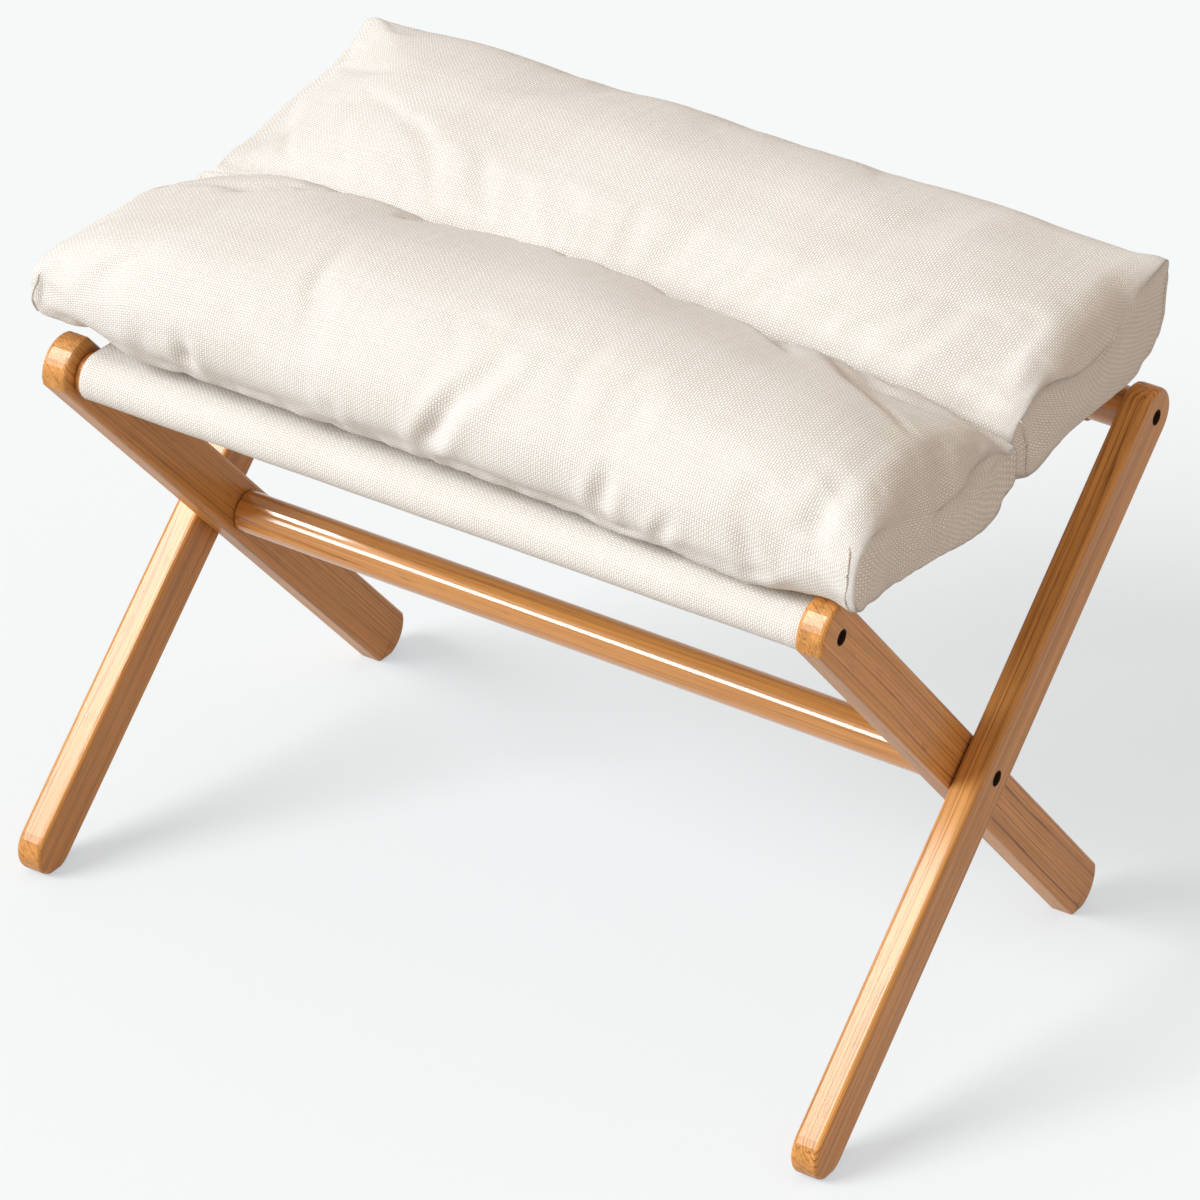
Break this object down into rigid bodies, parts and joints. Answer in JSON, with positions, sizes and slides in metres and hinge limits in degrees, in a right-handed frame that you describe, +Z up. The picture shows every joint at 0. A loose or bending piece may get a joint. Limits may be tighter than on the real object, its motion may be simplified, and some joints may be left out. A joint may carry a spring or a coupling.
{
  "type": "folding stool",
  "caption": "Folding footstool with crossed wooden legs, round rails, a canvas sling and a thick cushion with a channel across its middle.",
  "frame": {"origin": "on the floor midway between the feet, under the pivot axis", "axes": "+Z up, +X along the rails towards the right side, +Y from the front rail to the back rail"},
  "size_m": [0.6048, 0.4131, 0.4941],
  "materials": {
    "leg_wood": "satin clear lacquer over honey-coloured pine",
    "dowel_wood": "gloss clear lacquer",
    "dark_steel": "black oxide",
    "brass": "machined",
    "nylon": "matte",
    "canvas": "coarse plain-weave cotton canvas",
    "cover": "coarse basket-weave cotton, soft filling"
  },
  "bodies": {
    "inner_frame": {"inner_leg_left": "leg_wood", "inner_leg_right": "leg_wood", "front_rail": "dowel_wood", "pivot_stretcher": "dowel_wood", "front_rail_bolt_left": "dark_steel", "front_rail_bolt_right": "dark_steel", "front_rail_insert_left": "brass", "front_rail_insert_right": "brass", "pivot_bolt_left": "dark_steel", "pivot_bolt_right": "dark_steel", "pivot_insert_left": "brass", "pivot_insert_right": "brass", "pivot_washer_left": "nylon", "pivot_washer_right": "nylon"},
    "outer_frame": {"outer_leg_left": "leg_wood", "outer_leg_right": "leg_wood", "back_rail": "dowel_wood", "back_rail_bolt_left": "dark_steel", "back_rail_bolt_right": "dark_steel", "back_rail_insert_left": "brass", "back_rail_insert_right": "brass"},
    "front_seat": {"sling_front_panel": "canvas", "cushion_front_lobe": "cover"},
    "back_seat": {"sling_back_panel": "canvas", "cushion_back_lobe": "cover"},
    "back_sleeve": {"sling_back_sleeve": "canvas"}
  },
  "joints": [
    {"name": "fold", "type": "hinge", "parent": "inner_frame", "child": "outer_frame", "pos_m": [0, 0, 0.197], "axis": [1, 0, 0], "range_deg": [0, 80]},
    {"name": "front_seat_swing", "type": "hinge", "parent": "inner_frame", "child": "front_seat", "pos_m": [0, -0.17678, 0.37378], "axis": [1, 0, 0], "range_deg": [0, 118]},
    {"name": "seat_fold", "type": "hinge", "parent": "front_seat", "child": "back_seat", "pos_m": [0, 0, 0.38958], "axis": [1, 0, 0], "range_deg": [-156, 0]},
    {"name": "back_sleeve_turn", "type": "hinge", "parent": "outer_frame", "child": "back_sleeve", "pos_m": [0, 0.17678, 0.37378], "axis": [1, 0, 0], "range_deg": [-118, 0]}
  ],
  "couplings": [
    {"joint": "front_seat_swing", "follows": "fold", "ratio": 1.473},
    {"joint": "seat_fold", "follows": "fold", "ratio": -1.946},
    {"joint": "back_sleeve_turn", "follows": "fold", "ratio": -1.473}
  ]
}
